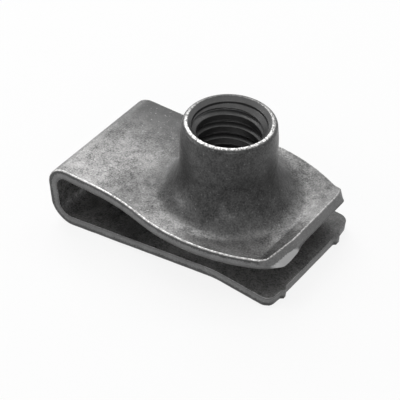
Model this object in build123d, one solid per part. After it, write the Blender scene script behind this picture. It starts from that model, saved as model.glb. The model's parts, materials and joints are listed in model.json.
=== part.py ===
from build123d import *

import os
from math import cos, radians, sin, tan

# U-shaped clip nut: one strip of spring steel with an extruded, threaded barrel.
#
# Frame: +X points to the open end, +Y across the strip, +Z up. The nut is drawn
# with x = 0 where the barrel axis meets the upper leg's top, and is centred on its
# bounding box at the end. It stands on its lower leg. All dimensions are in
# millimetres. The whole nut is one folded piece of strip.

# ---- strip -----------------------------------------------------------------
strip_width = 12.7          # half-inch strip, as wide at the bend as at the lower tip
sheet = 0.95                # spring steel, 0.037 in
back_x = -14.65             # outer face of the closed end

# ---- side view: outer faces of the two legs --------------------------------
upper_slope = 4.70          # degrees, the upper leg falls towards the barrel
upper_z0 = 4.86             # its top face at x = 0
lip_bend_x = 7.0            # where the short end lip turns up
lip_end = (8.68, 4.86)      # top edge of that lip before its end is sheared
lip_radius = 0.8
lip_zone_x = 5.5            # the shear's shape is worked out beyond here
lower_slope = 3.40          # degrees, the lower leg rises towards the screw hole
lower_bend_x = 2.8          # where its tip turns down again
lower_tip_x = 8.90          # end before the tip is blanked to shape
tip_slope = 8.8             # degrees, fall of the turned-down tip
tip_radius = 7.0
bend_top_radius = 1.94      # outer radii of the closed end
bend_low_radius = 2.15

# ---- plan of the upper leg: it swells around the barrel ---------------------
bulge_half_width = 7.6
bulge_radius = 16.5
bulge_centre = -0.25
bulge_blend = 20.0          # reverse curve into the straight strip
fold_skew = 0.6             # degrees, the upper leg sits this far round in plan

# The sheared end of the lip, as (top, bottom) points in plan. The shear broke
# out further at the bottom, most of all at the two corners.
shear_top_z, shear_low_z = 4.70, 3.85
sheared_end = [
    ((6.95, -6.60), (7.55, -6.60)), ((7.20, -5.85), (8.15, -5.50)),
    ((7.36, -5.50), (8.52, -5.22)), ((7.55, -4.85), (8.72, -4.75)),
    ((8.21, -2.36), (8.84, -3.40)), ((8.21, -1.90), (8.55, -1.80)),
    ((8.22, 4.10), (8.57, 3.60)), ((8.18, 4.70), (8.60, 4.60)),
    ((8.08, 5.10), (8.56, 5.20)), ((7.90, 5.50), (8.33, 5.70)),
    ((7.30, 6.60), (7.70, 6.70)),
]

# ---- lower leg: clearance hole and blanked tip ------------------------------
clear_dia = 7.9
clear_x = -0.3
tip_x = 8.38                # middle of the sheared tip edge
tip_corner = 0.9
nib = 0.20                  # witness left where the carrier strip was cut off

# ---- barrel: 1/4-20 UNC -----------------------------------------------------
barrel_height = 7.42        # above the upper leg's top face
barrel_radius = 4.11
flare_reach = 2.62          # the root spreads this far over the leg
flare_rise = 3.50
lip_land = 3.63             # crest of the rim, which is rolled on its outer side
lip_round = 0.45            # height of that roll
bore_radius = 2.75          # thread crests, 62 percent thread
sink_radius = 3.50          # 90 degree countersink that leads into the thread
root_radius = 3.00          # inside flare at the underside of the leg


def strip_section():
    """Side view of the folded strip, drawn by its outer faces and thickened inwards."""
    fall = tan(radians(upper_slope))
    rise = tan(radians(lower_slope))
    drop = tan(radians(tip_slope))
    # the lower leg's line is set so that the round of the bend touches z = 0
    low_tan_x = back_x + bend_low_radius * (1 + sin(radians(lower_slope)))
    low_tan_z = bend_low_radius * (1 - cos(radians(lower_slope)))
    low_z = lambda x: low_tan_z + rise * (x - low_tan_x)
    bend_z = low_z(lower_bend_x)
    points = [
        lip_end,
        (lip_bend_x, upper_z0 - fall * lip_bend_x),
        (back_x, upper_z0 - fall * back_x),
        (back_x, low_z(back_x)),
        (lower_bend_x, bend_z),
        (lower_tip_x, bend_z - drop * (lower_tip_x - lower_bend_x)),
    ]
    radii = [lip_radius, bend_top_radius, bend_low_radius, tip_radius]
    outer = fillet_polyline(points, radii)
    inner_radii = [lip_radius + sheet, bend_top_radius - sheet, bend_low_radius - sheet,
                   tip_radius + sheet]
    inner = fillet_polyline(offset_points(points, sheet), inner_radii)
    ends = [Line(outer @ 0, inner @ 0), Line(outer @ 1, inner @ 1)]
    return make_face(outer.edges() + inner.edges() + ends)


def offset_points(points, distance):
    """Shift an open polyline sideways, to its left as it is walked."""
    lines = []
    for a, b in zip(points, points[1:]):
        along = (Vector(*b) - Vector(*a)).normalized()
        side = Vector(-along.Y, along.X) * distance
        lines.append((Vector(*a) + side, along))
    shifted = [lines[0][0]]
    for (p, u), (q, v) in zip(lines, lines[1:]):
        s = ((q - p).X * v.Y - (q - p).Y * v.X) / (u.X * v.Y - u.Y * v.X)
        shifted.append(p + u * s)
    end, along = Vector(*points[-1]), lines[-1][1]
    shifted.append(end + Vector(-along.Y, along.X) * distance)
    return [(p.X, p.Y) for p in shifted]


def fillet_polyline(points, radii):
    """A polyline with its own radius at each inner corner."""
    path = []
    start = Vector(*points[0])
    for before, corner, after, radius in zip(points, points[1:], points[2:], radii):
        c = Vector(*corner)
        u = (Vector(*before) - c).normalized()
        v = (Vector(*after) - c).normalized()
        half = radians(u.get_angle(v)) / 2
        reach = radius / tan(half)
        a, b = c + u * reach, c + v * reach
        middle = c + (u + v).normalized() * (radius / sin(half) - radius)
        path += [Line(start, a), ThreePointArc(a, middle, b)]
        start = b
    path.append(Line(start, Vector(*points[-1])))
    return Wire([edge for part in path for edge in part.edges()])


def upper_plan():
    """Plan of the upper leg in its own plane, straight at the bend and swollen at the barrel."""
    offset = bulge_radius - bulge_half_width
    arcs = [Pos(bulge_centre, s * offset) * Circle(bulge_radius) for s in (-1, 1)]
    swell = arcs[0] & arcs[1] & Pos(-1, 0) * Rectangle(24, 20)
    straight = Pos(-9, 0) * Rectangle(18, strip_width)
    plan = straight + swell
    corners = [v for v in plan.vertices() if -9 < v.X < -3]
    plan = fillet(corners, bulge_blend)
    return Pos(-13, 0) * Rot(0, 0, fold_skew) * Pos(13, 0) * plan


def tip_plan():
    """Plan of the lower leg with the sheared tip, its round corners and carrier nibs."""
    half = strip_width / 2
    outline = [
        (-18, -half), (tip_x - 0.22, -half), (tip_x - 0.06, -4.75),
        (tip_x - 0.02 + nib, -4.55), (tip_x - 0.02 + nib, -4.25), (tip_x - 0.03, -4.00),
        (tip_x + 0.05, 3.45), (tip_x + 0.05 + nib, 3.65), (tip_x + 0.05 + nib, 4.10),
        (tip_x - 0.02, 4.40), (tip_x - 0.22, half), (-18, half),
    ]
    plan = make_face(Polyline(*outline, close=True))
    corners = [v for v in plan.vertices() if v.X > 0 and abs(v.Y) > half - 0.01]
    return fillet(corners, tip_corner)


def folded_strip():
    """The blanked strip after folding, before the barrel is drawn."""
    section = Plane.XZ * strip_section()
    sheet_solid = extrude(section, 9, both=True)
    split = 2.7                                    # a level between the two legs
    above = Pos(-3, 0, split + 6) * Box(30, 20, 12)
    below = Pos(-3, 0, split - 3) * Box(30, 20, 6)
    upper = sheet_solid & above & extrude(leg_plane() * upper_plan(), 9, both=True)
    a = radians(tip_slope)
    tip_frame = Plane(origin=(tip_x, 0, 0), x_dir=(cos(a), 0, -sin(a)), z_dir=(sin(a), 0, cos(a)))
    lower = sheet_solid & below & extrude(tip_frame * Pos(-tip_x, 0) * tip_plan(), 9, both=True)
    return upper, lower


def leg_plane():
    """Top plane of the upper leg; its normal is the barrel axis."""
    a = radians(upper_slope)
    return Plane(origin=(0, 0, upper_z0), x_dir=(cos(a), 0, -sin(a)), z_dir=(sin(a), 0, cos(a)))


def finish_lip(upper):
    """Shear the end of the turned-up lip, with its two round corners."""
    leg = upper & Pos(lip_zone_x - 15, 0, 5) * Box(30, 20, 10)
    return leg + (upper & shear_block())


def shear_block():
    """Everything behind the sheared end, ruled from its top outline to its bottom outline."""
    outline = [((lip_zone_x, -9), (lip_zone_x, -9)), *sheared_end,
               ((lip_zone_x, 9), (lip_zone_x, 9))]
    levels = []
    for z in (4.95, 3.20):
        t = (shear_top_z - z) / (shear_top_z - shear_low_z)
        points = [(a[0] + (b[0] - a[0]) * t, a[1] + (b[1] - a[1]) * t, z) for a, b in outline]
        levels.append(make_face(Polyline(*points, close=True)))
    return loft(levels, ruled=True)


def barrel():
    """Drawn barrel with its flared root and rolled rim, about the barrel axis."""
    foot = barrel_radius + flare_reach
    with BuildSketch(Plane.XZ) as profile:
        with BuildLine():
            Polyline((foot, 0), (foot, -sheet / 2), (0, -sheet / 2), (0, barrel_height),
                     (lip_land, barrel_height))
            EllipticalCenterArc((lip_land, barrel_height - lip_round), barrel_radius - lip_land,
                                lip_round, 0, arc_size=90)
            Line((barrel_radius, barrel_height - lip_round), (barrel_radius, flare_rise))
            EllipticalCenterArc((foot, flare_rise), flare_reach, flare_rise, 180, arc_size=90)
        make_face()
    return leg_plane() * revolve(profile.sketch, Axis.Z)


def bore():
    """Thread crest bore, countersunk mouth and the flared entry from below."""
    sink_depth = sink_radius - bore_radius
    top = barrel_height + 1
    root = bore_radius + root_radius
    with BuildSketch(Plane.XZ) as profile:
        with BuildLine():
            Polyline((bore_radius, root_radius - sheet),
                     (bore_radius, barrel_height - sink_depth), (sink_radius + 1, top),
                     (0, top), (0, -sheet - 1), (root, -sheet - 1), (root, -sheet))
            CenterArc((root, root_radius - sheet), root_radius, 180, 90)
        make_face()
    return leg_plane() * revolve(profile.sketch, Axis.Z)


def clearance_hole():
    """Screw clearance hole, square to the lower leg."""
    a = radians(lower_slope)
    plane = Plane(origin=(clear_x, 0, 0.7), x_dir=(cos(a), 0, sin(a)), z_dir=(-sin(a), 0, cos(a)))
    return plane * Cylinder(clear_dia / 2, 4)


def clip_nut():
    upper, lower = folded_strip()
    body = finish_lip(upper) + lower
    return (body + barrel() - bore() - clearance_hole()).clean()


def centred(solid):
    """Put the origin under the middle of the bounding box, on the resting surface."""
    box = solid.bounding_box()
    return Pos(-box.center().X, -box.center().Y, -box.min.Z) * solid


os.makedirs("parts", exist_ok=True)
export_step(centred(clip_nut()), "parts/clip_nut.step")
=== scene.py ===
# %% [markdown]
# A U-shaped clip nut, made by folding one strip of spring steel. The upper leg
# carries a barrel that was drawn out of the sheet and tapped, and the lower leg has
# a clear hole for the screw. The steel is phosphated and oiled, so it is dark grey
# and a little silky. The solids fix every size, and this script dresses them.

# %% Load the frame
import json
import math

import bmesh
import bpy
from mathutils import Matrix, Vector, noise


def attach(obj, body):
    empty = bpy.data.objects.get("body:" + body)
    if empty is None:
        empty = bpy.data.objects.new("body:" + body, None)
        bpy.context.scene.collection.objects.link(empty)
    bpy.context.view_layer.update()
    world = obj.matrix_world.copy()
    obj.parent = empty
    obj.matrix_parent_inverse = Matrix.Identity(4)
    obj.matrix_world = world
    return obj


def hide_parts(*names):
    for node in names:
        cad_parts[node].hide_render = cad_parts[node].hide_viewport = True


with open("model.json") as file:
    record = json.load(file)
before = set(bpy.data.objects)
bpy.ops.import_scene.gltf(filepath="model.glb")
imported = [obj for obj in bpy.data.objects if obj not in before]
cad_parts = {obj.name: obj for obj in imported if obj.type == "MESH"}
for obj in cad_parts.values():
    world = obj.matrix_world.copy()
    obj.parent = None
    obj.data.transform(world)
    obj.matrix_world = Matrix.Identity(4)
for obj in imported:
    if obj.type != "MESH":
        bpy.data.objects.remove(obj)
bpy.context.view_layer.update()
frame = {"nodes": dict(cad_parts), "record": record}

MM = 0.001
strip = frame["nodes"]["clip_nut"]

# %% [markdown]
# Everything on the upper leg is measured from the barrel axis: a point has a height
# above the leg's top face and a distance from the axis. A frame of three directions
# at the foot of the axis turns one into the other, so the thread can be written as
# if the barrel stood upright. The axis is square to the sloping leg, and the frame's
# thread mount says where it is. Sizes are in millimetres, apart from those that are
# multiplied by MM.

# %% The barrel's own frame
BARREL_R, BARREL_TOP = 4.11, 7.42
FLARE_REACH, FLARE_RISE = 2.62, 3.50
CREST_R, UNDER_R = 2.75, 3.0
THREAD_MIDDLE = 4.36

thread = next(m for m in frame["record"]["mounts"] if m["name"] == "thread")
BARREL_AXIS = -Vector(thread["axis"]).normalized()
BARREL_FOOT = Vector(thread["pos_m"]) - BARREL_AXIS * (THREAD_MIDDLE * MM)
FOOT_X, FOOT_Y, LEG_TOP = BARREL_FOOT / MM
SIDE_Y = Vector((0.0, 1.0, 0.0))
SIDE_X = SIDE_Y.cross(BARREL_AXIS).normalized()
print("barrel foot in mm:", [round(c / MM, 2) for c in BARREL_FOOT])


def barrel_place(radius, angle, height):
    """A point in metres from its radius, angle and height in millimetres."""
    out = SIDE_X * math.cos(angle) + SIDE_Y * math.sin(angle)
    return BARREL_FOOT + out * (radius * MM) + BARREL_AXIS * (height * MM)


def barrel_measure(point):
    """Radius and height of a point in millimetres, about the barrel."""
    rel = point - BARREL_FOOT
    height = rel.dot(BARREL_AXIS)
    return (rel - BARREL_AXIS * height).length / MM, height / MM


# %% [markdown]
# A blanked edge is not one even surface. The punch first burnishes the metal, then
# the rest tears off, so each cut face has a smooth dark band on the outer side of
# the fold and a rough light band on the inner side. To place the bands, the script
# needs to know how far through the sheet a point lies. It works out the strip's
# outer line in side view, from the slopes of the legs and the radii of the bends,
# and measures the distance from it.

# %% The strip's outer line in side view
SHEET = 0.95
LIP_END = (8.68, LEG_TOP)
LIP_BEND_X, BACK_X, LOWER_BEND_X, LOWER_TIP_X = 7.0, -14.65, 2.8, 8.90
UPPER_SLOPE = math.atan2(BARREL_AXIS.x, BARREL_AXIS.z)
LOWER_SLOPE, TIP_SLOPE = math.radians(3.40), math.radians(8.8)
LIP_RADIUS, TOP_RADIUS, LOW_RADIUS, TIP_RADIUS = 0.8, 1.94, 2.15, 7.0
END_SLACK, ARC_SLACK = 0.001, 0.0001


def line_corners():
    """The outer line's corners from lip to tip, with x from the barrel's foot."""
    fall, rise, drop = (math.tan(a) for a in (UPPER_SLOPE, LOWER_SLOPE, TIP_SLOPE))
    rest_x = BACK_X + LOW_RADIUS * (1 + math.sin(LOWER_SLOPE))
    rest_z = LOW_RADIUS * (1 - math.cos(LOWER_SLOPE))
    bend_z = rest_z + rise * (LOWER_BEND_X - rest_x)
    return [
        LIP_END,
        (LIP_BEND_X, LEG_TOP - fall * LIP_BEND_X),
        (BACK_X, LEG_TOP - fall * BACK_X),
        (BACK_X, rest_z + rise * (BACK_X - rest_x)),
        (LOWER_BEND_X, bend_z),
        (LOWER_TIP_X, bend_z - drop * (LOWER_TIP_X - LOWER_BEND_X)),
    ]


def line_pieces(corners, radii):
    """Straight runs and arcs of the outer line, walked from the lip to the tip."""
    pieces, start = [], Vector(corners[0])
    for before, corner, after, radius in zip(corners, corners[1:], corners[2:], radii):
        corner = Vector(corner)
        u = (Vector(before) - corner).normalized()
        v = (Vector(after) - corner).normalized()
        half = u.angle(v) / 2
        middle = (u + v).normalized()
        turn = 1 if u.y * v.x - u.x * v.y > 0 else -1
        pieces.append(("run", start, corner + u * (radius / math.tan(half))))
        pieces.append(("arc", corner + middle * (radius / math.sin(half)), radius,
                       -middle, math.sin(half), turn))
        start = corner + v * (radius / math.tan(half))
    pieces.append(("run", start, Vector(corners[-1])))
    return pieces


outer_line = line_pieces(line_corners(),
                         (LIP_RADIUS, TOP_RADIUS, LOW_RADIUS, TIP_RADIUS))


def sheet_place(point):
    """How deep a point lies, 0 on the outer and 1 on the inner face, and the way out."""
    p = Vector((point.x / MM - FOOT_X, point.z / MM))
    best, way_out = math.inf, None
    for piece in outer_line:
        if piece[0] == "run":
            _, a, b = piece
            along = (b - a).normalized()
            t = (p - a).dot(along)
            before_start = t < -END_SLACK and piece is not outer_line[0]
            past_end = t > (b - a).length + END_SLACK and piece is not outer_line[-1]
            if before_start or past_end:
                continue
            out = Vector((along.y, -along.x))
            depth = -(p - a).dot(out)
        else:
            _, centre, radius, middle, reach, turn = piece
            spoke = p - centre
            if spoke.normalized().dot(middle) < reach - ARC_SLACK:
                continue
            out = spoke.normalized() * turn
            depth = (radius - spoke.length) * turn
        if abs(depth) < abs(best):
            best, way_out = depth, out
    return best / SHEET, Vector((way_out.x, 0.0, way_out.y))


def through_sheet(point):
    """How deep a point lies, 0 on the outer and 1 on the inner face of the fold."""
    return sheet_place(point)[0]


print("line pieces:", len(outer_line))

# %% [markdown]
# The strip itself keeps the shape of its CAD solid. A copy of that mesh is welded,
# and only its two skins are kept: the outer and the inner face of the fold. The
# barrel, the hole's wall and the cut faces are removed, to be made again in more
# detail. Flat parts are joined into large faces, so that only real edges are left.
# The two long halves are joined apart from each other, because a face that runs all
# the way round a hole would cover it. For that, one half borrows a second material.

# %% Copy the strip's two skins
FLARE_FOOT = BARREL_R + FLARE_REACH
FLARE_UNDER = CREST_R + UNDER_R
NEAR_FLARE, OFF_LEVEL = 0.01, 0.003
DEPTH_SLACK = 0.03
SIDEWAYS = 0.35
WELD = 0.002 * MM
FLAT_WITHIN = math.radians(0.6)
OUTER, INNER = 0, 1

mesh = strip.data.copy()
mesh.name = "folded_strip"
mesh.materials.clear()
bm = bmesh.new()
bm.from_mesh(mesh)

# what a face is, the normal of a rolled point, and four values that the finishes read
kind = bm.faces.layers.int.new("kind")
stated = bm.verts.layers.float_vector.new("stated")
wear_and_sheen, across, burnish, tear_painted_light = (
    bm.loops.layers.float.new(name)
    for name in ("wear_and_sheen", "across", "burnish", "tear_painted_light"))
bmesh.ops.remove_doubles(bm, verts=bm.verts, dist=WELD)
bmesh.ops.dissolve_degenerate(bm, edges=bm.edges, dist=WELD / 2)
bm.normal_update()


def on_skin(face):
    """OUTER or INNER for a face of the folded sheet, else None."""
    spots = [barrel_measure(v.co) for v in face.verts]
    near_barrel = all(r < FLARE_FOOT + NEAR_FLARE and h > -SHEET - NEAR_FLARE
                      for r, h in spots)
    curved = any(min(abs(h), abs(h + SHEET)) > OFF_LEVEL for _, h in spots)
    if (near_barrel and curved) or abs(face.normal.y) >= SIDEWAYS:
        return None
    depths = [through_sheet(v.co) for v in face.verts]
    for skin_side in (OUTER, INNER):
        if all(abs(depth - skin_side) < DEPTH_SLACK for depth in depths):
            return skin_side
    return None


bmesh.ops.delete(bm, geom=[f for f in bm.faces if on_skin(f) is None], context="FACES")
for face in bm.faces:
    face.material_index = int(face.calc_center_median().y > 0)
bmesh.ops.dissolve_limit(bm, angle_limit=FLAT_WITHIN, verts=bm.verts,
                         edges=bm.edges, use_dissolve_boundaries=False,
                         delimit={"MATERIAL"})
for face in bm.faces:
    face.material_index = 0
print("skin faces:", len(bm.faces))

# %% [markdown]
# Each skin now has three rims: its outline, the hole for the barrel and the hole for
# the screw in the other leg. The script walks along the open edges to get each rim
# as a ring of points, and names it by its size and place.

# %% Find the rims of the skins
LONGEST_HOLE = 60 * MM
UNDER_UPPER_LEG = -1.5


def closed_rings():
    """Every loop of open edges, as a list of points in order."""
    left = {e for e in bm.edges if e.is_boundary}
    rings = []
    while left:
        edge = left.pop()
        ring = [edge.verts[0], edge.verts[1]]
        while True:
            onward = [e for e in ring[-1].link_edges if e in left]
            if not onward:
                break
            left.discard(onward[0])
            ring.append(onward[0].other_vert(ring[-1]))
        rings.append(ring[:-1] if ring[-1] is ring[0] else ring)
    return rings


def ring_length(ring):
    return sum((a.co - b.co).length for a, b in zip(ring, ring[1:] + ring[:1]))


def name_rings(rings):
    """The rings by rim and by side of the sheet."""
    named = {}
    for ring in rings:
        middle = sum((v.co for v in ring), Vector()) / len(ring)
        depth = sum(through_sheet(v.co) for v in ring) / len(ring)
        side = "outer" if depth < 0.5 else "inner"
        if ring_length(ring) > LONGEST_HOLE:
            named["outline", side] = ring
        elif barrel_measure(middle)[1] > UNDER_UPPER_LEG:
            named["barrel", side] = ring
        else:
            named["screw", side] = ring
    return named


rims = name_rings(closed_rings())
print("rims:", {" ".join(k): len(v) for k, v in rims.items()})

# %% [markdown]
# A sheared outline is cut by one stroke of a tool, so its corners are a little
# round, and it is never perfectly even. The outlines get points less than 0.28 mm
# apart, and those of the turned-up end are eased towards their neighbours. So are
# those half way up the closed end, where the fold leaves a faint step in the edge.
# Near one corner the shear dragged the steel down, and a small burr hangs there.

# %% Ease the sheared outlines
STEP, MOST_HALVINGS = 0.28 * MM, 8
LIP_FROM = (6.75 + FOOT_X) * MM
BETWEEN_LEGS = 3.0 * MM
BEND_BEFORE, BEND_LOW, BEND_HIGH = -9.5 * MM, 1.9 * MM, 3.5 * MM
BURR_Y, BURR_REACH = -3.8 * MM, 1.35 * MM
BURR_OUT, BURR_DROP, BURR_END = 0.25 * MM, 0.30 * MM, 11.70 * MM

for _ in range(MOST_HALVINGS):
    outline_points = set(rims["outline", "outer"]) | set(rims["outline", "inner"])
    long_ones = [e for e in bm.edges if e.is_boundary and e.calc_length() > STEP
                 and set(e.verts) <= outline_points]
    if not long_ones:
        break
    bmesh.ops.subdivide_edges(bm, edges=long_ones, cuts=1, use_grid_fill=False)
    rims = name_rings(closed_rings())


def on_lip_end(point):
    return point.x > LIP_FROM and point.z > BETWEEN_LEGS


def on_mid_bend(point):
    return point.x < BEND_BEFORE and BEND_LOW < point.z < BEND_HIGH


def ease(ring, rounds, where=on_lip_end):
    """Move points of a rim half way to the middle of their two neighbours."""
    for _ in range(rounds):
        targets = []
        for before, v, after in zip(ring[-1:] + ring[:-1], ring, ring[1:] + ring[:1]):
            targets.append((before.co + after.co) / 2 if where(v.co) else v.co.copy())
        for v, target in zip(ring, targets):
            v.co = v.co.lerp(target, 0.5)


for side in ("outer", "inner"):
    ease(rims["outline", side], 12, on_mid_bend)
ease(rims["outline", "outer"], 2)
ease(rims["outline", "inner"], 3)
for v in rims["outline", "inner"]:
    if on_lip_end(v.co):
        hang = math.exp(-((v.co.y - BURR_Y) / BURR_REACH) ** 2)
        v.co += Vector((min(BURR_OUT * hang, BURR_END - v.co.x), 0, -BURR_DROP * hang))
ease(rims["outline", "inner"], 2)
print("outline points:", len(rims["outline", "outer"]), len(rims["outline", "inner"]))

# %% [markdown]
# The tool also leaves waves of a few hundredths of a millimetre along the cut. The
# points of the outlines move inwards by smooth noise, so the strip never grows. To
# know which way is inwards, each point takes the direction along its rim, crossed
# with the direction out of the skin.

# %% Let the cut wander
WAVE_DEPTH = 0.05 * MM
WAVE_LENGTH = 1.5 * MM
FINE_LENGTH, FINE_SHARE = 0.35 * WAVE_LENGTH, 0.35
FINE_SHIFT = Vector((9, 4, 2))


def skin_normal(v):
    """The way out of the sheet, at a point on one of its skins."""
    depth, way_out = sheet_place(v.co)
    return way_out if depth < 0.5 else -way_out


def ways_off(ring):
    """For each point of a rim, the way off the skin, in the skin's own plane."""
    ways, vote = [], 0
    for before, v, after in zip(ring[-1:] + ring[:-1], ring, ring[1:] + ring[:1]):
        way = (after.co - before.co).cross(skin_normal(v)).normalized()
        face = v.link_faces[0]
        vote += 1 if way.dot(v.co - face.calc_center_median()) > 0 else -1
        ways.append(way)
    return ways if vote > 0 else [-way for way in ways]


def ripple(place):
    """Smooth noise between 0 and 1."""
    return 0.5 + 0.5 * noise.noise(place)


def wave_at(point):
    """How far the cut wanders inwards, from a long wave and a fine one."""
    slow = ripple(point / WAVE_LENGTH)
    fine = ripple(point / FINE_LENGTH + FINE_SHIFT)
    return WAVE_DEPTH * ((1 - FINE_SHARE) * slow + FINE_SHARE * fine)


for side in ("outer", "inner"):
    ring = rims["outline", side]
    for v, way in zip(ring, ways_off(ring)):
        v.co -= way * wave_at(v.co)
print("waves on:", len(rims["outline", "outer"]), "outer points")

# %% [markdown]
# Where the punch enters, the sheet's edge rolls over in a small radius. Where it
# leaves, the edge stays nearly sharp. Each rim is pulled back by the radius, and new
# rows of points turn a quarter circle down into the cut. The narrow new faces are
# remembered, because phosphate rubs off there and bare steel shows. Where they face
# the front, more bare steel is painted on, as a highlight.

# %% Round the edges
FACE_STEEL, CUT_STEEL, THREAD_STEEL = 0, 1, 2
SKIN, CUT, EDGE, BARREL = range(4)
NIB_ROLL, TIP_FROM = 0.05 * MM, 10.9 * MM
ROLLED_EDGE = {"radius": 0.115 * MM, "steps": 4, "wear": 1.0}
TORN_EDGE = {"radius": 0.04 * MM, "steps": 2, "wear": 0.15}
BACK_WEAR, LIP_WEAR = 0.4, 0.65
# the way to the front; edges facing it get painted highlight
FRONT = Vector((0.4, -0.92, 0.0)).normalized()


def roll_radius(point, radius):
    """Smaller at the tip, whose two nibs are only a third of a millimetre wide."""
    at_tip = point.x > TIP_FROM and point.z < BETWEEN_LEGS
    return min(radius, NIB_ROLL) if at_tip else radius


def rubbed_and_lit_share(point, way):
    """Bare steel on an edge: some wear all round, more painted on as highlight in front."""
    share = BACK_WEAR + (1 - BACK_WEAR) * max(way.dot(FRONT), 0.0)
    return share * (LIP_WEAR if on_lip_end(point) else 1.0)


def roll_edge(ring, radius, steps, wear):
    """Roll a rim over by a quarter circle; returns the row of points at its foot."""
    ways, outs = ways_off(ring), [skin_normal(v) for v in ring]
    sizes = [roll_radius(v.co, radius) for v in ring]
    for v, way, size in zip(ring, ways, sizes):
        v.co -= way * size
    start = [v.co.copy() for v in ring]
    rows = [ring]
    for k in range(1, steps + 1):
        turn = math.pi / 2 * k / steps
        row = []
        for place, way, out, size in zip(start, ways, outs, sizes):
            v = bm.verts.new(place + way * (size * math.sin(turn))
                             - out * (size * (1 - math.cos(turn))))
            v[stated] = out * math.cos(turn) + way * math.sin(turn)
            row.append(v)
        rows.append(row)
    for k in range(steps):
        upper, lower = rows[k], rows[k + 1]
        rub = [wear * (1 - (j / steps) ** 3) for j in (k, k + 1)]
        for i in range(len(ring)):
            n = (i + 1) % len(ring)
            face = bm.faces.new((upper[i], upper[n], lower[n], lower[i]))
            face[kind] = EDGE
            for loop, amount in zip(face.loops, (rub[0], rub[0], rub[1], rub[1])):
                # painted highlight: edges that face the front get more bare steel
                loop[wear_and_sheen] = amount * rubbed_and_lit_share(loop.vert.co, ways[i])
    return rows[-1]


feet = {}
for (rim, side), ring in rims.items():
    if rim != "barrel":
        edge = ROLLED_EDGE if side == "outer" else TORN_EDGE
        feet[rim, side] = roll_edge(ring, **edge)
print("rolled rims:", [" ".join(key) for key in feet])

# %% [markdown]
# The cut faces are zipped together from the two rows. The zip always takes the
# shorter of the two next stitches, so it turns corners well. Three more rows across
# the sheet let the torn part of the cut be rough in its shape too.

# %% Zip the cut faces
ROWS_ACROSS = 3
TEAR_DEPTH, TEAR_LENGTH = 0.05 * MM, 0.3 * WAVE_LENGTH
TORN_BEYOND = 0.55


def zip_rings(first, second):
    """Triangles between two rings that run side by side."""
    start = min(range(len(second)), key=lambda j: (second[j].co - first[0].co).length)
    second = second[start:] + second[:start]
    if (first[1].co - first[0].co).dot(second[1].co - second[0].co) < 0:
        second = second[:1] + second[:0:-1]
    n, m, i, j, faces = len(first), len(second), 0, 0, []
    while i < n or j < m:
        a, b = first[i % n], second[j % m]
        next_a, next_b = first[(i + 1) % n], second[(j + 1) % m]
        if j >= m or (i < n and (next_a.co - b.co).length <= (next_b.co - a.co).length):
            faces.append(bm.faces.new((a, next_a, b)))
            i += 1
        else:
            faces.append(bm.faces.new((a, next_b, b)))
            j += 1
    return faces


cut_faces = []
for rim in ("outline", "screw"):
    cut_faces += zip_rings(feet[rim, "outer"], feet[rim, "inner"])
for face in cut_faces:
    face.material_index, face[kind] = CUT_STEEL, CUT
bmesh.ops.join_triangles(bm, faces=cut_faces, angle_face_threshold=math.radians(25),
                         angle_shape_threshold=math.radians(50))
rungs = [e for e in bm.edges
         if abs(through_sheet(e.verts[0].co) - through_sheet(e.verts[1].co)) > 0.5]
bmesh.ops.subdivide_edges(bm, edges=rungs, cuts=ROWS_ACROSS, use_grid_fill=True)
bmesh.ops.recalc_face_normals(bm, faces=bm.faces)
for v in bm.verts:
    if all(f[kind] == CUT for f in v.link_faces) and through_sheet(v.co) > TORN_BEYOND:
        inward = -sum((f.normal for f in v.link_faces), Vector()).normalized()
        v.co += inward * TEAR_DEPTH * ripple(v.co / TEAR_LENGTH)
rims = name_rings(closed_rings())
print("cut faces:", sum(f[kind] == CUT for f in bm.faces), "open rims:", list(rims))

# %% [markdown]
# How far the punch burnished the cut before the steel tore differs along the edge.
# It is over a third of the sheet on the sides and most of it on the end of the lip,
# apart from a broad tear near the lip's corner, which faces up and is given painted
# light. The finish of the cut reads these values from the mesh.

# %% Say where the cut is burnished
LOWER_SHARE, UPPER_SHARE, LIP_SHARE = 0.40, 0.36, 0.86
LIP_BLEND = 0.8 * MM
TEAR_Y, TEAR_REACH = -3.9 * MM, 1.55 * MM
# TEAR_GAIN sets how much painted light the upward-facing tear gets
TEAR_LOSS, TEAR_GAIN = 0.26, 3.0


def corner_tear(point):
    """The broad tear on the lip's end, 1 in its middle and 0 outside it."""
    if not on_lip_end(point):
        return 0.0
    return max(1.0 - ((point.y - TEAR_Y) / TEAR_REACH) ** 2, 0.0)


def burnished_share(point):
    """The part of the cut face that is smooth, from its outer edge."""
    if point.z < BETWEEN_LEGS:
        return LOWER_SHARE
    on_lip = min(max((point.x - LIP_FROM) / LIP_BLEND, 0.0), 1.0)
    smooth = UPPER_SHARE + (LIP_SHARE - UPPER_SHARE) * on_lip
    return smooth - TEAR_LOSS * corner_tear(point)


for v in bm.verts:
    depth, share = through_sheet(v.co), burnished_share(v.co)
    # painted light on the upward-facing tear at the lip's corner
    bright = min(TEAR_GAIN * corner_tear(v.co), 1.0)
    for loop in v.link_loops:
        loop[across], loop[burnish], loop[tear_painted_light] = depth, share, bright
print("least burnished share:", round(min(burnished_share(v.co) for v in bm.verts), 2))

# %% [markdown]
# The barrel is a surface of revolution, so one side line is enough. It starts at
# the foot of the flare, climbs an elliptical curve, goes straight up the wall, rolls
# over the rim and turns down into the countersink. Each point of the line is a
# radius and a height.

# %% The barrel's side line
RIM_R, RIM_LAND, RIM_ROUND = 3.98, 3.57, 0.42
TAPER_FROM = 5.4
SINK_R, SINK_EDGE, SINK_EASE = 3.50, 0.07, 0.03
FLARE_STEPS, WALL_STEPS, RIM_STEPS, SINK_STEPS = 30, 12, 10, 4


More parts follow.
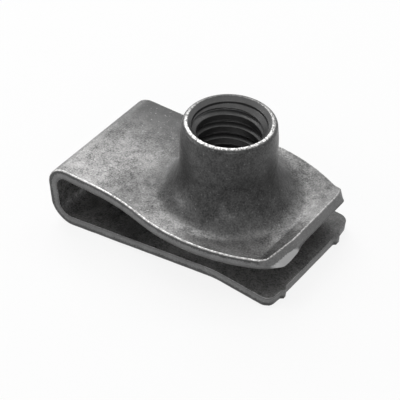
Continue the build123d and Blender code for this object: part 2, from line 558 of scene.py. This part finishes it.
def drawn_radius(height):
    """The barrel thins a little towards the rim, where the steel was stretched most."""
    up = min(max((height - TAPER_FROM) / (BARREL_TOP - RIM_ROUND - TAPER_FROM), 0.0), 1.0)
    return BARREL_R - (BARREL_R - RIM_R) * up ** 1.5


def angles(whole, steps):
    """Equal steps from 0 to a whole angle in degrees."""
    return [math.radians(whole) * i / steps for i in range(steps + 1)]


def outside_line():
    """From the foot of the flare to the inner edge of the rim."""
    flare = [(FLARE_FOOT - FLARE_REACH * math.sin(a), FLARE_RISE * (1 - math.cos(a)))
             for a in angles(90, FLARE_STEPS)[1:]]
    wall_rise = BARREL_TOP - RIM_ROUND - FLARE_RISE
    heights = [FLARE_RISE + wall_rise * i / WALL_STEPS for i in range(1, WALL_STEPS)]
    wall = [(drawn_radius(height), height) for height in heights]
    rim = [(RIM_LAND + (RIM_R - RIM_LAND) * math.cos(a),
            BARREL_TOP - RIM_ROUND * (1 - math.sin(a))) for a in angles(90, RIM_STEPS)]
    sink = [(SINK_R + SINK_EASE - SINK_EDGE * math.sin(a),
             BARREL_TOP - SINK_EDGE * (1 - math.cos(a))) for a in angles(45, SINK_STEPS)]
    return flare + wall + rim + sink


print("side line points:", len(outside_line()))

# %% [markdown]
# The thread is a 60 degree groove that climbs 1.27 mm a turn. At a given height and
# angle, the wall's radius comes from where that spot lies between two grooves. The
# countersink and the flared entry below cut into the thread, so the wall is always
# the widest of the three shapes.

# %% The tapped wall
ROOT_R, PITCH, THREAD_START = 3.19, 1.27, -0.47
MOUTH_R, MOUTH_DEPTH = 3.16, 0.58
UNDER_TOP = UNDER_R - SHEET
ROOT_FLAT = PITCH / 8
FLANK = (ROOT_R - CREST_R) * math.tan(math.radians(30))
SOFT, CRISP = 0.03, 0.01


def smooth_max(a, b, width):
    """The larger of two numbers, with the corner between them rounded."""
    h = min(max(0.5 + 0.5 * (a - b) / width, 0.0), 1.0)
    return b + (a - b) * h + width * h * (1 - h)


def thread_radius(angle, height):
    """The wall of the groove, with its corners eased at the crest and the root."""
    turn = (height - THREAD_START) / PITCH - angle / math.tau
    off_root = abs(turn - round(turn)) * PITCH
    depth = 1.0 - (off_root - ROOT_FLAT / 2) / FLANK
    wall = CREST_R + (ROOT_R - CREST_R) * depth
    wall = smooth_max(wall, CREST_R, 2 * SOFT)
    return -smooth_max(-wall, -ROOT_R, 2 * SOFT)


def mouth_radius(height):
    """Countersink, a short plain wall, then a step down to the thread's crest."""
    depth = BARREL_TOP - height
    if depth < SINK_R - MOUTH_R:
        return SINK_R - depth
    return MOUTH_R - max(depth - MOUTH_DEPTH, 0.0)


def entry_radius(height):
    """The flared entry under the leg, or 0 above it."""
    drop = UNDER_TOP - height
    if drop <= 0:
        return 0.0
    return FLARE_UNDER - math.sqrt(max(UNDER_R ** 2 - drop ** 2, 0.0))


def wall_radius(angle, height):
    """The bore's wall: the widest of the thread, the mouth and the entry."""
    plain = smooth_max(mouth_radius(height), entry_radius(height), CRISP)
    return smooth_max(thread_radius(angle, height), plain, SOFT)


print("thread flank, mm:", round(FLANK, 3))

# %% [markdown]
# The side line and the wall are now swept round the axis as one grid of quads. Its
# first and last rows meet the two round holes that were left in the strip, and
# bridges close the narrow gaps, so the nut is one closed skin again.

# %% Sweep the barrel and join it to the strip
SPOKES, THREAD_ROWS, ENTRY_ROWS = 180, 220, 18
THREAD_LOW = 0.35
RUB_R, RUB_HALF, RUB_FULL, RUB_DEPTH = 3.62, 0.15, 0.35, 0.34
# the front of the rim gets more bare steel, as painted highlight
SINK_RUB, BACK_RUB, FRONT_GAIN = 0.05, 0.05, 1.4
RIM_FRONT = Vector((0.6, -0.8))
outside = outside_line()
wall_top = outside[-1][1]
wall_heights = [wall_top - (wall_top - THREAD_LOW) * i / THREAD_ROWS
                for i in range(1, THREAD_ROWS + 1)]
drop_start = math.asin((UNDER_TOP - THREAD_LOW) / UNDER_R)
entry_angles = [drop_start + (math.pi / 2 - drop_start) * i / ENTRY_ROWS
                for i in range(1, ENTRY_ROWS)]


def ring_of(radius_at, height):
    """A ring of new points; radius_at gives the radius at an angle."""
    return [bm.verts.new(barrel_place(radius_at(math.tau * k / SPOKES),
                                      math.tau * k / SPOKES, height))
            for k in range(SPOKES)]


def rim_wear_and_sheen(point):
    """The rim is rubbed bright, its countersink a little; the front gets painted highlight."""
    radius, height = barrel_measure(point)
    if height < BARREL_TOP - RUB_DEPTH:
        return 0.0
    if radius < SINK_R - SINK_EDGE:
        return SINK_RUB
    # painted highlight: more bare steel towards the front of the rim
    spoke = (point - BARREL_FOOT).xy.normalized()
    front = min(FRONT_GAIN * (0.5 + 0.5 * spoke.dot(RIM_FRONT)), 1.0)
    rub = min(max(1 + RUB_FULL - abs(radius - RUB_R) / RUB_HALF, 0.0), 1.0)
    return rub * (BACK_RUB + (1 - BACK_RUB) * front)


def band(upper, lower, material):
    """A band of quads between two rings of points."""
    for k in range(SPOKES):
        n = (k + 1) % SPOKES
        face = bm.faces.new((upper[k], lower[k], lower[n], upper[n]))
        face.material_index = material
        face[kind] = BARREL
        for loop in face.loops:
            loop[wear_and_sheen] = rim_wear_and_sheen(loop.vert.co)


rows = [(ring_of(lambda a, r=r: r, h), FACE_STEEL) for r, h in outside]
rows += [(ring_of(lambda a, h=h: wall_radius(a, h), h), THREAD_STEEL) for h in wall_heights]
rows += [(ring_of(lambda a, e=e: FLARE_UNDER - UNDER_R * math.cos(e),
                  UNDER_TOP - UNDER_R * math.sin(e)), FACE_STEEL) for e in entry_angles]
for (upper, _), (lower, material) in zip(rows, rows[1:]):
    band(upper, lower, material)

for side, ring in (("outer", rows[0][0]), ("inner", rows[-1][0])):
    for face in zip_rings(ring, rims["barrel", side]):
        face.material_index = FACE_STEEL
        face[kind] = BARREL
bmesh.ops.recalc_face_normals(bm, faces=bm.faces)
print("open edges left:", sum(e.is_boundary for e in bm.edges))

# %% [markdown]
# The finished skin becomes one piece. Its flat parts are large faces beside very
# narrow ones, and averaged normals would smear light across them. So the script
# states each normal: the skins follow the fold, the cut faces and the barrel are
# smooth on their own, and the rounded edges turn from one to the other.

# %% Make the nut one piece
for face in bm.faces:
    face.smooth = True
bm.normal_update()
bmesh.ops.triangulate(bm, faces=[f for f in bm.faces if len(f.verts) > 4])
bm.normal_update()


def averaged(v, face_kind):
    """Normal at a point from its faces of one kind, or None."""
    total = Vector()
    for f in v.link_faces:
        if f[kind] == face_kind:
            total += f.normal * f.calc_area() / MM ** 2
    return total.normalized() if total.length > 0 else None


normals_at = {}
for v in bm.verts:
    fold = skin_normal(v) if any(f[kind] == SKIN for f in v.link_faces) else None
    rolled = v[stated].normalized() if v[stated].length > 0.5 else None
    normals_at[v] = {SKIN: fold, EDGE: fold or rolled, CUT: rolled or averaged(v, CUT),
                     BARREL: fold or averaged(v, BARREL)}
normals = [normals_at[v][f[kind]] for f in bm.faces for v in f.verts]
bm.to_mesh(mesh)
bm.free()
mesh.normals_split_custom_set(normals)
for name in ("stated", "kind"):
    mesh.attributes.remove(mesh.attributes[name])
nut = bpy.data.objects.new("folded_clip_nut", mesh)
bpy.context.scene.collection.objects.link(nut)
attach(nut, "root")
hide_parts("clip_nut")
print("triangles:", sum(len(p.vertices) - 2 for p in mesh.polygons))

# %% [markdown]
# Three finishes share the same few effects, so each effect is a node group with
# named inputs. One helper makes a group with its sockets, and the others add a node
# and feed it, which keeps the recipes below short.

# %% Helpers for node groups
SOCKET_TYPES = {"f": "NodeSocketFloat", "v": "NodeSocketVector"}
MIX_SHARE, MIX_A, MIX_B, MIX_COLOUR = 0, 6, 7, 2


def new_group(name, inputs, outputs):
    """An empty group; inputs have a label, a type and a value, outputs no value."""
    group = bpy.data.node_groups.new(name, "ShaderNodeTree")
    for label, letter, value in inputs:
        socket = group.interface.new_socket(name=label, in_out="INPUT",
                                            socket_type=SOCKET_TYPES[letter])
        if value is not None:
            socket.default_value = value
    for label, letter in outputs:
        group.interface.new_socket(name=label, in_out="OUTPUT",
                                   socket_type=SOCKET_TYPES[letter])
    return group, group.nodes.new("NodeGroupInput"), group.nodes.new("NodeGroupOutput")


def add(tree, node_type, **settings):
    """A new node; settings are node properties or, after in_, its inputs."""
    node = tree.nodes.new(node_type)
    for key, value in settings.items():
        if key.startswith("in_"):
            node.inputs[key[3:]].default_value = value
        else:
            setattr(node, key, value)
    return node


def feed(tree, value, socket):
    """Link an output to a socket, or set the socket to a plain value."""
    if isinstance(value, bpy.types.NodeSocket):
        tree.links.new(value, socket)
    elif value is not None:
        socket.default_value = value


def maths(tree, operation, a, b=None, clamp=False):
    """A Math node fed by numbers or sockets; returns its output."""
    node = add(tree, "ShaderNodeMath", operation=operation, use_clamp=clamp)
    for slot, value in enumerate((a, b)):
        feed(tree, value, node.inputs[slot])
    return node.outputs[0]


def remap(tree, value, low, high, to_low, to_high):
    """Carry a value smoothly from one range to another, and hold it inside that."""
    node = add(tree, "ShaderNodeMapRange", interpolation_type="SMOOTHSTEP")
    labels = ("Value", "From Min", "From Max", "To Min", "To Max")
    for label, item in zip(labels, (value, low, high, to_low, to_high)):
        feed(tree, item, node.inputs[label])
    return node.outputs["Result"]


def mix_colours(tree, mask, a, b):
    """A colour between a and b; each may be a colour or a socket."""
    node = add(tree, "ShaderNodeMix", data_type="RGBA")
    for slot, value in ((MIX_SHARE, mask), (MIX_A, a), (MIX_B, b)):
        feed(tree, value, node.inputs[slot])
    return node.outputs[MIX_COLOUR]


def grey(value, warmth=0.0):
    """A grey, or a slightly warm one."""
    return (value * (1 + warmth), value, value * (1 - warmth), 1.0)


print("helpers ready")

# %% [markdown]
# Phosphate grows as fine crystals, and the oil on it dries in clouds, so the grey
# is mottled at three scales: clouds of several millimetres, patches of about one,
# and crystals of a tenth. The group gives a mask that a finish turns into colour.

# %% Group: the mottle of phosphate and oil
def build_mottle():
    tree, given, out = new_group(
        "phosphate_mottle",
        [("Place", "v", None), ("Clouds", "f", 0.5), ("Patches", "f", 0.5),
         ("Crystals", "f", 0.5)], [("Mask", "f")])
    total = None
    for label, scale, detail in (("Clouds", 0.22, 2.0), ("Patches", 1.3, 3.0),
                                 ("Crystals", 7.0, 2.0)):
        cloud = add(tree, "ShaderNodeTexNoise", in_Scale=scale, in_Detail=detail,
                    in_Roughness=0.55)
        tree.links.new(given.outputs["Place"], cloud.inputs["Vector"])
        centred = maths(tree, "SUBTRACT", cloud.outputs["Fac"], 0.5)
        part = maths(tree, "MULTIPLY", centred, given.outputs[label])
        total = part if total is None else maths(tree, "ADD", total, part)
    tree.links.new(maths(tree, "ADD", total, 0.5, clamp=True), out.inputs["Mask"])
    return tree


mottle = build_mottle()
print("group:", mottle.name)

# %% [markdown]
# Under a lens the surface is covered in pinpricks: small scuffs where a crystal was
# knocked off and bare steel glints, and small dents from the barrel in which the
# nuts were tumbled. One group makes the glints and the relief.

# %% Group: glints and fine relief
def build_grain():
    tree, given, out = new_group(
        "tumbled_grain",
        [("Place", "v", None), ("Glint Size", "f", 4.0), ("Glint Share", "f", 0.5),
         ("Dents", "f", 0.5)], [("Glints", "f"), ("Height", "f")])
    flecks = add(tree, "ShaderNodeTexNoise", in_Detail=1.5, in_Roughness=0.6)
    tree.links.new(given.outputs["Place"], flecks.inputs["Vector"])
    tree.links.new(given.outputs["Glint Size"], flecks.inputs["Scale"])
    share = maths(tree, "MULTIPLY", given.outputs["Glint Share"], 0.25)
    edge = maths(tree, "SUBTRACT", 0.80, share)
    over = maths(tree, "SUBTRACT", flecks.outputs["Fac"], edge)
    tree.links.new(maths(tree, "MULTIPLY", over, 9.0, clamp=True), out.inputs["Glints"])
    fine = add(tree, "ShaderNodeTexNoise", in_Scale=11.0, in_Detail=2.0)
    dents = add(tree, "ShaderNodeTexNoise", in_Scale=1.9, in_Detail=2.0)
    for node in (fine, dents):
        tree.links.new(given.outputs["Place"], node.inputs["Vector"])
    deep = maths(tree, "MULTIPLY", dents.outputs["Fac"], given.outputs["Dents"])
    shallow = maths(tree, "MULTIPLY", fine.outputs["Fac"], 0.25)
    tree.links.new(maths(tree, "ADD", shallow, deep), out.inputs["Height"])
    return tree


grain = build_grain()
print("group:", grain.name)

# %% [markdown]
# Each finish starts in the same way: a Principled shader, the place on the nut in
# millimetres, and the two groups. What differs is how dark, how rough and how
# dented it is. The finishes can also get a painted shade round the barrel and its
# flare, and the values that are stored on the mesh.

# %% The start of every steel finish
LEG_GAP = (2.6, 3.2)
# how far from the barrel's axis, in mm, the painted shade is full and where it ends
FLARE_SHADE_FROM, FLARE_SHADE_TO = 7.6, 4.8


def start_steel(name, metallic, specular):
    """A new steel; returns its material, its nodes, its shader and the place."""
    material = bpy.data.materials.new(name)
    material.use_nodes = True
    tree = material.node_tree
    shader = tree.nodes["Principled BSDF"]
    shader.inputs["Metallic"].default_value = metallic
    shader.inputs["Specular IOR Level"].default_value = specular
    where = add(tree, "ShaderNodeTexCoord")
    in_mm = add(tree, "ShaderNodeMapping", in_Scale=(1 / MM, 1 / MM, 1 / MM))
    tree.links.new(where.outputs["Object"], in_mm.inputs["Vector"])
    return material, tree, shader, in_mm.outputs["Vector"]


def use_group(tree, group, place, **values):
    """A group put to use, with its inputs set by name."""
    node = add(tree, "ShaderNodeGroup", node_tree=group)
    tree.links.new(place, node.inputs["Place"])
    for label, value in values.items():
        node.inputs[label.replace("_", " ")].default_value = value
    return node


def relief(tree, shader, height, distance, strength):
    """Bumps on a shader; the distance is how deep they are, in millimetres."""
    bump = add(tree, "ShaderNodeBump", in_Distance=distance * MM, in_Strength=strength)
    tree.links.new(height, bump.inputs["Height"])
    tree.links.new(bump.outputs["Normal"], shader.inputs["Normal"])


def coordinates(tree, place):
    """The x, y and z of a place, as three sockets."""
    split = add(tree, "ShaderNodeSeparateXYZ")
    tree.links.new(place, split.inputs[0])
    return [split.outputs[letter] for letter in "XYZ"]


def flare_shade_share(tree, place):
    """Painted shade on the barrel and its flare: 1 near the axis, 0 further out, upper leg
    only.
    """
    from_axis = add(tree, "ShaderNodeVectorMath", operation="SUBTRACT")
    from_axis.inputs[1].default_value = (FOOT_X, FOOT_Y, 0.0)
    level = add(tree, "ShaderNodeVectorMath", operation="MULTIPLY")
    level.inputs[1].default_value = (1.0, 1.0, 0.0)
    distance = add(tree, "ShaderNodeVectorMath", operation="LENGTH")
    tree.links.new(place, from_axis.inputs[0])
    tree.links.new(from_axis.outputs[0], level.inputs[0])
    tree.links.new(level.outputs[0], distance.inputs[0])
    near = remap(tree, distance.outputs["Value"], FLARE_SHADE_TO, FLARE_SHADE_FROM, 1.0, 0.0)
    height = coordinates(tree, place)[2]
    return maths(tree, "MULTIPLY", near, remap(tree, height, *LEG_GAP, 0.0, 1.0))


def attribute(tree, name):
    """A value that was stored on the mesh."""
    return add(tree, "ShaderNodeAttribute", attribute_name=name).outputs["Fac"]


print("steel starter ready")

# %% [markdown]
# The broad faces are dark grey phosphate with a film of oil. They are silky rather
# than shiny. Shade is painted into the grey: darker on the barrel and its flare, on
# the far side of the nut, most towards its closed end and on the lower leg, and in a
# band before the flare. Rubbed edges show bare steel in small glints, and those that
# face the front are painted brighter still, as a highlight.

# %% Finish: phosphated faces
def painted_shade(tree, place):
    """Painted shade, 0 to 1: far side, closed end, lower leg, a band before the flare."""
    x, y, z = coordinates(tree, place)
    far = remap(tree, y, -3.5, 6.0, 0.0, 1.0)
    closed_end = remap(tree, x, -3.0, 4.0, 1.0, 0.25)
    lower_leg = remap(tree, z, *LEG_GAP, 0.7, 0.0)
    far_shade = maths(tree, "MULTIPLY", far, maths(tree, "MAXIMUM", closed_end, lower_leg))
    band_shade = maths(tree, "MULTIPLY", remap(tree, x, -7.5, -3.0, 0.0, 0.5),
                   remap(tree, x, -3.0, -0.5, 1.0, 0.0))
    return maths(tree, "MAXIMUM", far_shade, band_shade)


def bare_and_sheen_flecks(tree, place):
    """Bare steel on rubbed edges, painted brighter in front as highlight, broken up."""
    chips = add(tree, "ShaderNodeTexNoise", in_Scale=5.5, in_Detail=2.0)
    tree.links.new(place, chips.inputs["Vector"])
    broken = remap(tree, chips.outputs["Fac"], 0.40, 0.58, 0.28, 1.0)
    return maths(tree, "MULTIPLY", attribute(tree, "wear_and_sheen"), broken)


def build_face_steel():
    material, tree, shader, place = start_steel("phosphated_steel", 0.48, 0.5)
    spots = use_group(tree, mottle, place, Clouds=1.0, Patches=1.1, Crystals=1.5)
    grains = use_group(tree, grain, place, Glint_Size=5.0, Glint_Share=0.62, Dents=0.8)
    # painted shade on the barrel and its flare
    flare_shade = flare_shade_share(tree, place)
    flat_skin = mix_colours(tree, spots.outputs["Mask"], grey(0.02), grey(0.30, 0.01))
    # a darker skin, painted there as shade
    shaded_flare_skin = mix_colours(tree, spots.outputs["Mask"], grey(0.006), grey(0.082))
    base = mix_colours(tree, flare_shade, flat_skin, shaded_flare_skin)
    # painted shade: darker on the far side, the closed end, the lower leg and before the flare
    base = mix_colours(tree, painted_shade(tree, place), base, grey(0.03))
    # fewer glints where the shade is painted
    glints = maths(tree, "MULTIPLY", grains.outputs["Glints"],
                   remap(tree, flare_shade, 0.0, 1.0, 0.32, 0.2))
    base = mix_colours(tree, glints, base, grey(0.42))
    # bare steel from wear, with painted highlight on edges that face the front
    bare = bare_and_sheen_flecks(tree, place)
    base = mix_colours(tree, bare, base, grey(0.78, 0.01))
    tree.links.new(base, shader.inputs["Base Color"])
    rough = remap(tree, spots.outputs["Mask"], 0.2, 0.8, 0.44, 0.34)
    rough = maths(tree, "SUBTRACT", rough, maths(tree, "MULTIPLY", bare, 0.10))
    tree.links.new(rough, shader.inputs["Roughness"])
    relief(tree, shader, grains.outputs["Height"], 0.03, 0.7)
    return material


mesh.materials.append(build_face_steel())
print("finish:", mesh.materials[-1].name)

# %% [markdown]
# A cut face has two bands, split by a ragged line. The burnished band is dark and
# fairly smooth, and on the end of the lip it is nearly bare. The torn band is
# lighter and coarse, and darkens again towards its inner edge. The across value that
# was stored on the mesh says where on the edge a point lies. Near the lip's corner
# the tear that faces up is painted lighter still, as light.

# %% Finish: sheared edges
def build_cut_steel():
    material, tree, shader, place = start_steel("sheared_steel", 0.5, 0.4)
    spots = use_group(tree, mottle, place, Clouds=0.2, Patches=0.5, Crystals=0.8)
    grains = use_group(tree, grain, place, Glint_Size=6.0, Glint_Share=0.6, Dents=0.5)
    centred = maths(tree, "SUBTRACT", spots.outputs["Mask"], 0.5)
    ragged = maths(tree, "MULTIPLY", centred, 0.5)
    past = maths(tree, "SUBTRACT", attribute(tree, "across"), attribute(tree, "burnish"))
    torn = remap(tree, maths(tree, "ADD", past, ragged), -0.03, 0.09, 0.0, 1.0)
    smooth = mix_colours(tree, spots.outputs["Mask"], grey(0.025), grey(0.09))
    bare = mix_colours(tree, spots.outputs["Mask"], grey(0.06), grey(0.22))
    lip_share = remap(tree, attribute(tree, "burnish"), 0.42, 0.60, 0.0, 1.0)
    smooth = mix_colours(tree, lip_share, smooth, bare)
    rough = mix_colours(tree, spots.outputs["Mask"], grey(0.09), grey(0.25))
    inner_side = remap(tree, attribute(tree, "across"), 0.7, 1.0, 0.0, 0.7)
    rough = mix_colours(tree, inner_side, rough, grey(0.05))
    # painted light: the upward-facing tear near the lip's corner is lighter
    rough = mix_colours(tree, attribute(tree, "tear_painted_light"), rough, grey(0.45))
    base = mix_colours(tree, torn, smooth, rough)
    base = mix_colours(tree, maths(tree, "MULTIPLY", grains.outputs["Glints"], 0.4),
                       base, grey(0.40))
    tree.links.new(base, shader.inputs["Base Color"])
    tree.links.new(remap(tree, torn, 0.0, 1.0, 0.36, 0.62), shader.inputs["Roughness"])
    height = maths(tree, "MULTIPLY", grains.outputs["Height"],
                   remap(tree, torn, 0.0, 1.0, 0.3, 1.0))
    relief(tree, shader, height, 0.04, 0.8)
    return material


mesh.materials.append(build_cut_steel())
print("finish:", mesh.materials[-1].name)

# %% [markdown]
# The thread was tapped before the phosphate bath, so its flanks are a shade smoother
# and hold more oil. It is darker than the faces, with fewer glints.

# %% Finish: the tapped thread
def build_thread_steel():
    material, tree, shader, place = start_steel("tapped_steel", 0.55, 0.5)
    spots = use_group(tree, mottle, place, Clouds=0.2, Patches=0.4, Crystals=0.6)
    grains = use_group(tree, grain, place, Glint_Size=6.0, Glint_Share=0.35, Dents=0.3)
    base = mix_colours(tree, spots.outputs["Mask"], grey(0.045), grey(0.12))
    base = mix_colours(tree, maths(tree, "MULTIPLY", grains.outputs["Glints"], 0.3),
                       base, grey(0.35))
    # bare steel where rubbed, painted brighter towards the front of the rim
    base = mix_colours(tree, attribute(tree, "wear_and_sheen"), base, grey(0.35))
    tree.links.new(base, shader.inputs["Base Color"])
    tree.links.new(remap(tree, spots.outputs["Mask"], 0.2, 0.8, 0.36, 0.28),
                   shader.inputs["Roughness"])
    relief(tree, shader, grains.outputs["Height"], 0.012, 0.5)
    return material


mesh.materials.append(build_thread_steel())
print("finish:", mesh.materials[-1].name)

# %% [markdown]
# The nut lies on a plain white table. The table shows as white to the camera and in
# reflections, but part of its look is still lit by the lamps, so it keeps a soft
# shadow. The world does the same: white where it is seen, dimmer as a light.

# %% Table and surroundings
TABLE_SIZE, TABLE_GLOW = 3.0, 0.86
ROOM_LIGHT = 0.28


def seen_directly(tree):
    """1 for camera, glossy and transmission rays."""
    rays = add(tree, "ShaderNodeLightPath")
    seen = maths(tree, "MAXIMUM", rays.outputs["Is Camera Ray"], rays.outputs["Is Glossy Ray"])
    return maths(tree, "MAXIMUM", seen, rays.outputs["Is Transmission Ray"])


def build_table():
    bpy.ops.mesh.primitive_plane_add(size=TABLE_SIZE, location=(0, 0, 0))
    table = bpy.context.object
    table.name = "white_table"
    material = bpy.data.materials.new("white_table")
    material.use_nodes = True
    tree = material.node_tree
    shader = tree.nodes["Principled BSDF"]
    shader.inputs["Base Color"].default_value = grey(0.88)
    shader.inputs["Roughness"].default_value = 0.9
    shader.inputs["Specular IOR Level"].default_value = 0.1
    glow = add(tree, "ShaderNodeEmission")
    glow.inputs["Color"].default_value = grey(1.0)
    glow.inputs["Strength"].default_value = 1.0
    blend = add(tree, "ShaderNodeMixShader")
    share = maths(tree, "MULTIPLY", seen_directly(tree), TABLE_GLOW)
    tree.links.new(share, blend.inputs[0])
    tree.links.new(shader.outputs[0], blend.inputs[1])
    tree.links.new(glow.outputs[0], blend.inputs[2])
    tree.links.new(blend.outputs[0], tree.nodes["Material Output"].inputs["Surface"])
    table.data.materials.append(material)


def build_world(light):
    world = bpy.data.worlds.new("white_room")
    bpy.context.scene.world = world
    world.use_nodes = True
    tree = world.node_tree
    tree.nodes["Background"].inputs["Color"].default_value = grey(1.0)
    level = remap(tree, seen_directly(tree), 0.0, 1.0, light, 1.0)
    tree.links.new(level, tree.nodes["Background"].inputs["Strength"])


build_table()
build_world(ROOM_LIGHT)
print("table and world ready")

# %% [markdown]
# Soft lamps do the work. A wide one behind and to the left is mirrored in the flat
# upper leg, which turns it pale, and leaves the upright barrel dark. One overhead
# draws the bright line along the rim and the rolled edges, one behind picks out the
# edge of the lip, and a weak one in front opens the inside of the fold. Two low ones
# on the left light the closed end and the left of the barrel.

# %% Lamps
AIM = Vector((0, 0, 0.004))
LAMPS = [
    # name, the way towards it, distance, size, radiance
    ("window_lamp", (-0.51, 0.46, 0.73), 0.45, (0.30, 0.24), 3.45),
    ("overhead_lamp", (-0.28, 0.03, 0.95), 0.50, (0.24, 0.24), 4.0),
    ("back_lamp", (0.15, 0.65, 0.75), 0.50, (0.14, 0.14), 3.5),
    ("front_fill", (0.55, -0.75, 0.35), 0.45, (0.30, 0.20), 2.0),
    ("low_lamp", (-0.82, 0.52, 0.24), 0.45, (0.22, 0.14), 2.6),
    ("side_lamp", (-0.78, -0.50, 0.28), 0.45, (0.20, 0.14), 4.6),
]


def soft_lamp(name, toward, distance, size, radiance):
    """An area lamp that shines back at the nut, with a set surface brightness."""
    lamp = bpy.data.lights.new(name, "AREA")
    lamp.shape = "RECTANGLE"
    lamp.size, lamp.size_y = size
    lamp.energy = radiance * math.pi * size[0] * size[1]
    holder = bpy.data.objects.new(name, lamp)
    direction = Vector(toward).normalized()
    holder.location = AIM + direction * distance
    holder.rotation_euler = direction.to_track_quat("Z", "Y").to_euler()
    bpy.context.scene.collection.objects.link(holder)


for settings in LAMPS:
    soft_lamp(*settings)

# %% [markdown]
# The camera looks down on the open end from the front right with a long lens, and
# is turned a little about its own axis.

# %% Camera
def place_camera(location, azimuth, elevation, roll, lens):
    a, e, r = (math.radians(v) for v in (azimuth, elevation, roll))
    back = Vector((math.sin(a) * math.cos(e), -math.cos(a) * math.cos(e), math.sin(e)))
    level_right = Vector((math.cos(a), math.sin(a), 0.0))
    level_up = back.cross(level_right)
    right = level_right * math.cos(r) - level_up * math.sin(r)
    up = level_up * math.cos(r) + level_right * math.sin(r)
    camera = bpy.data.objects.new("camera", bpy.data.cameras.new("camera"))
    camera.data.sensor_width = 36.0
    camera.data.lens = lens
    camera.data.clip_start = 0.01
    turn = Matrix((right, up, back)).transposed().to_4x4()
    camera.matrix_world = Matrix.Translation(location) @ turn
    bpy.context.scene.collection.objects.link(camera)
    bpy.context.scene.camera = camera


place_camera(location=(0.061716, -0.080718, 0.082122), azimuth=37.47, elevation=38.08,
             roll=3.51, lens=133.5)
bpy.context.scene.view_settings.view_transform = "Standard"
print("camera ready")
